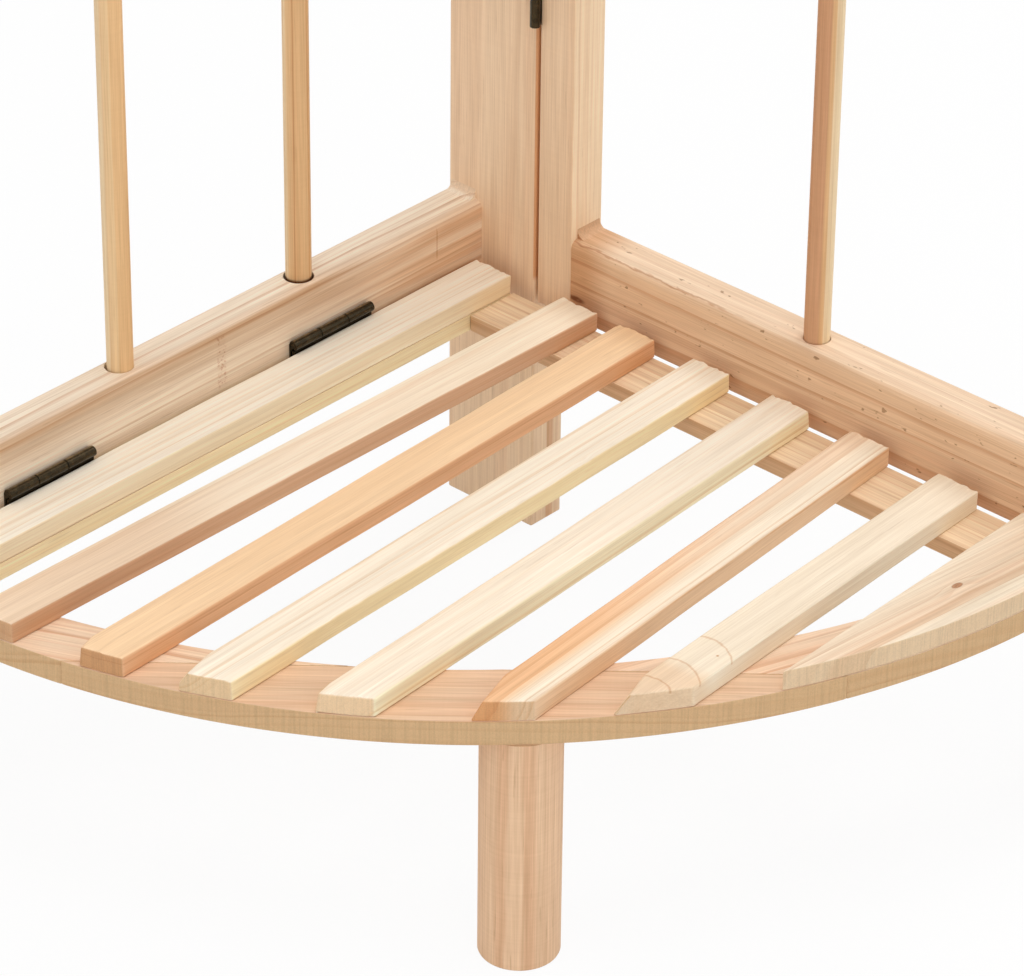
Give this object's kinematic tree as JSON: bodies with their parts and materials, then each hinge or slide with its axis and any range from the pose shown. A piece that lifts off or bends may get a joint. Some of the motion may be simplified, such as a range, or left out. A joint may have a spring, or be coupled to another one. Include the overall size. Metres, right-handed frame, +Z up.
{
  "type": "folding corner shelf",
  "caption": "Free-standing wooden corner shelf: two hinged frames with dowels carry quarter-round slatted shelves that fold up against the left frame.",
  "frame": {"origin": "middle of the ground that the shelf covers, on the floor", "axes": "+Z up, the left frame runs along Y and the right frame along X, the open curved side faces -Y and +X"},
  "size_m": [0.3756, 0.379, 0.9],
  "materials": {
    "post_wood": "bare planed softwood, pink-tan",
    "rail_wood": "bare planed softwood, pink-tan with dark flecks",
    "dowel_wood": "bare turned softwood",
    "slat_wood": "bare planed softwood, pale cream",
    "orange_wood": "bare planed softwood, salmon heartwood",
    "edge_wood": "bare sawn and sanded softwood",
    "batten_wood": "bare sawn softwood, yellowish",
    "leg_wood": "bare turned softwood",
    "hinge_metal": "dark antique bronze"
  },
  "bodies": {
    "left_frame": {"corner_post": "post_wood", "left_outer_post": "post_wood", "left_rail_bottom": "rail_wood", "left_rail_middle": "rail_wood", "left_rail_top": "rail_wood", "left_dowel_rear": "dowel_wood", "left_dowel_front": "dowel_wood", "frame_hinge_post_leaves": "hinge_metal", "frame_hinge_pins": "hinge_metal", "shelf_hinge_rail_leaves": "hinge_metal", "shelf_hinge_pins": "hinge_metal"},
    "right_frame": {"right_inner_post": "post_wood", "right_outer_post": "post_wood", "right_rail_bottom": "rail_wood", "right_rail_middle": "rail_wood", "right_rail_top": "rail_wood", "right_dowel": "dowel_wood", "frame_hinge_swing_leaves": "hinge_metal"},
    "lower_shelf": {"lower_slat_1": "slat_wood", "lower_slat_2": "slat_wood", "lower_slat_3": "orange_wood", "lower_slat_4": "slat_wood", "lower_slat_5": "slat_wood", "lower_slat_6": "orange_wood", "lower_slat_7": "slat_wood", "lower_corner_board": "edge_wood", "lower_side_batten": "batten_wood", "lower_rear_batten": "batten_wood", "lower_edge_left": "edge_wood", "lower_edge_front": "edge_wood", "lower_edge_right": "edge_wood", "lower_hinge_leaves": "hinge_metal", "lower_leg": "leg_wood"},
    "upper_shelf": {"upper_slat_1": "slat_wood", "upper_slat_2": "slat_wood", "upper_slat_3": "orange_wood", "upper_slat_4": "slat_wood", "upper_slat_5": "slat_wood", "upper_slat_6": "orange_wood", "upper_slat_7": "slat_wood", "upper_corner_board": "edge_wood", "upper_side_batten": "batten_wood", "upper_rear_batten": "batten_wood", "upper_edge_left": "edge_wood", "upper_edge_front": "edge_wood", "upper_edge_right": "edge_wood", "upper_hinge_leaves": "hinge_metal"}
  },
  "joints": [
    {"name": "lower_shelf_fold", "type": "hinge", "parent": "left_frame", "child": "lower_shelf", "pos_m": [-0.1652, -0.0125, 0.1356], "axis": [0, -1, 0], "range_deg": [0, 90]},
    {"name": "upper_shelf_fold", "type": "hinge", "parent": "left_frame", "child": "upper_shelf", "pos_m": [-0.1652, -0.0125, 0.5156], "axis": [0, -1, 0], "range_deg": [0, 90]},
    {"name": "frame_fold", "type": "hinge", "parent": "left_frame", "child": "right_frame", "pos_m": [-0.135, 0.1669, 0.45], "axis": [0, 0, -1], "range_deg": [0, 1]}
  ]
}
